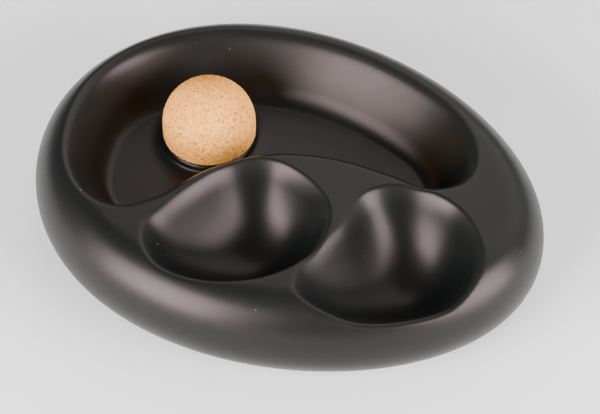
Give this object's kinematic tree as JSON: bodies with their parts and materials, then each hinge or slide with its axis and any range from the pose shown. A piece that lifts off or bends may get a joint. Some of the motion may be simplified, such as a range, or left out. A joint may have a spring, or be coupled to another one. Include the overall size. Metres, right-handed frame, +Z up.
{
  "type": "pipe ashtray",
  "caption": "Oval glazed ceramic pipe ashtray with an S-edged ash bowl, scooped pipe rests, a lift-off domed cork knocker on a peg, and felt pads.",
  "frame": {"origin": "middle of the dish's outline, on the surface that the felt pads stand on", "axes": "+Z up out of the bowl, +X along the dish's length towards its narrower end, +Y across it from the pipe rests towards the ash bowl"},
  "size_m": [0.1966, 0.1514, 0.0436],
  "materials": {
    "glaze": "satin black-brown glaze",
    "cork": "raw pressed cork",
    "felt": "matt felt"
  },
  "bodies": {
    "dish": {"tray": "glaze", "felt_pad_front_left": "felt", "felt_pad_front_right": "felt", "felt_pad_rear_left": "felt", "felt_pad_rear_right": "felt"},
    "cork": {"cork_knocker": "cork"}
  },
  "joints": [
    {"name": "knocker_lift", "type": "slide", "parent": "dish", "child": "cork", "axis": [0, 0, 1], "range_m": [0, 0.04]}
  ]
}
